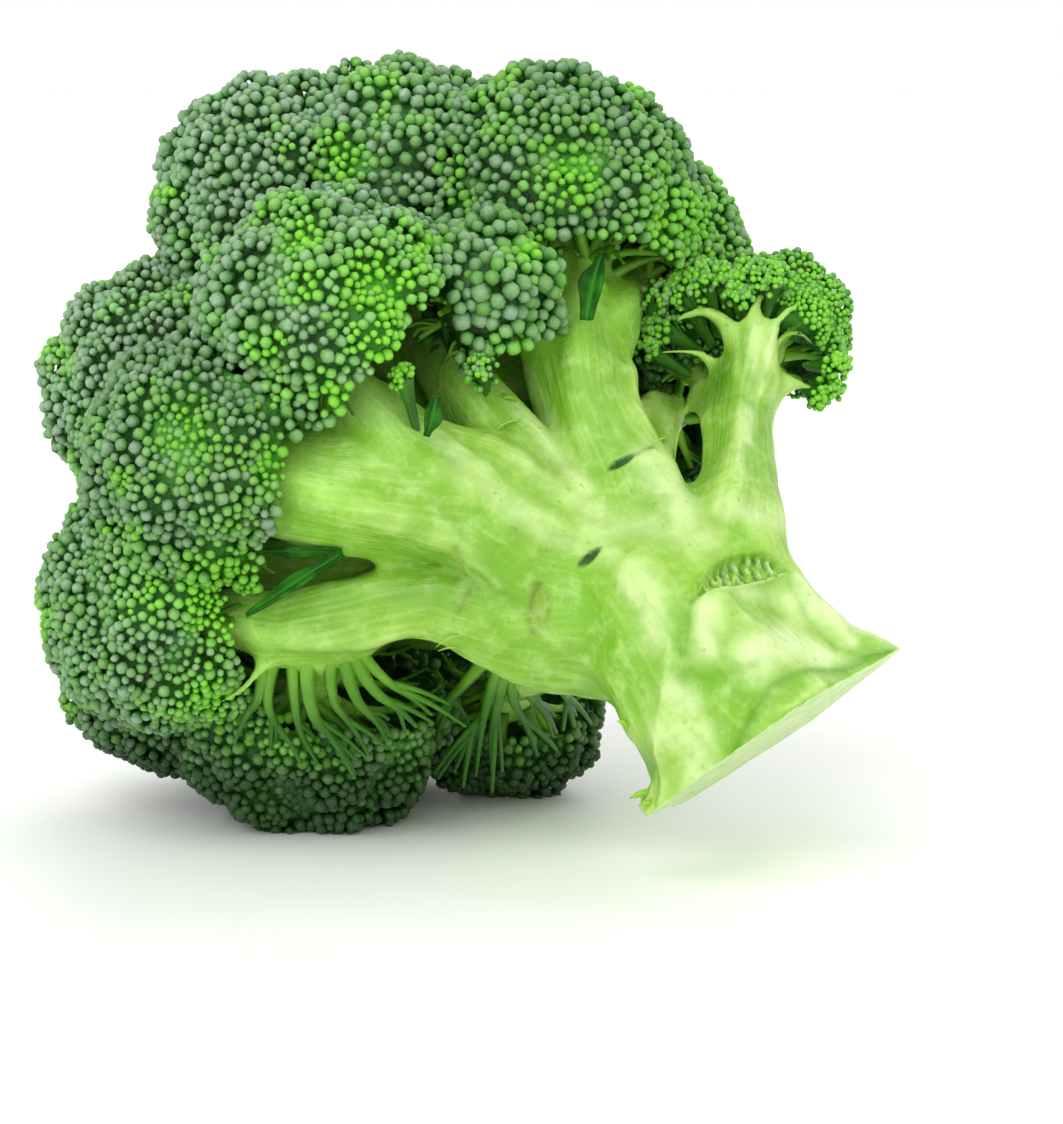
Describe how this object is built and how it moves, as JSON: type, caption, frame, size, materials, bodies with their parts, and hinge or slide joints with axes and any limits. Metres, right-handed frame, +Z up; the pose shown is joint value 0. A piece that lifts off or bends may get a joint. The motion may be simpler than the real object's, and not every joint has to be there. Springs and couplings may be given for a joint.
{
  "type": "broccoli head",
  "caption": "Fresh broccoli head lying on its side: a rounded crown of bud-covered florets on a branching, fluted stalk with a cut end and small leaves.",
  "frame": {"origin": "on the surface that the head lies on, under the middle of its bounding box", "axes": "+Z up, +X towards the cut end of the stalk, -Y towards the side that shows the stalk and its branches"},
  "size_m": [0.1678, 0.1604, 0.1517],
  "materials": {
    "stalk": "smooth, slightly waxy plant skin, pale yellow-green",
    "buds": "closed flower buds, dark green with a matt grey-blue bloom",
    "leaf": "small dark green leaf blades, satin"
  },
  "bodies": {
    "root": {"stalk": "stalk", "floret_top_1": "buds", "floret_top_2": "buds", "floret_top_3": "buds", "floret_top_4": "buds", "floret_front_1": "buds", "floret_front_2": "buds", "floret_front_3": "buds", "floret_left_1": "buds", "floret_left_2": "buds", "floret_left_3": "buds", "floret_bottom_1": "buds", "floret_bottom_2": "buds", "floret_side_1": "buds", "floret_side_2": "buds", "floret_side_3": "buds", "floret_back_1": "buds", "floret_back_2": "buds", "floret_back_3": "buds", "floret_back_4": "buds", "floret_back_5": "buds", "leaf_1": "leaf", "leaf_2": "leaf", "leaf_3": "leaf"}
  },
  "joints": []
}
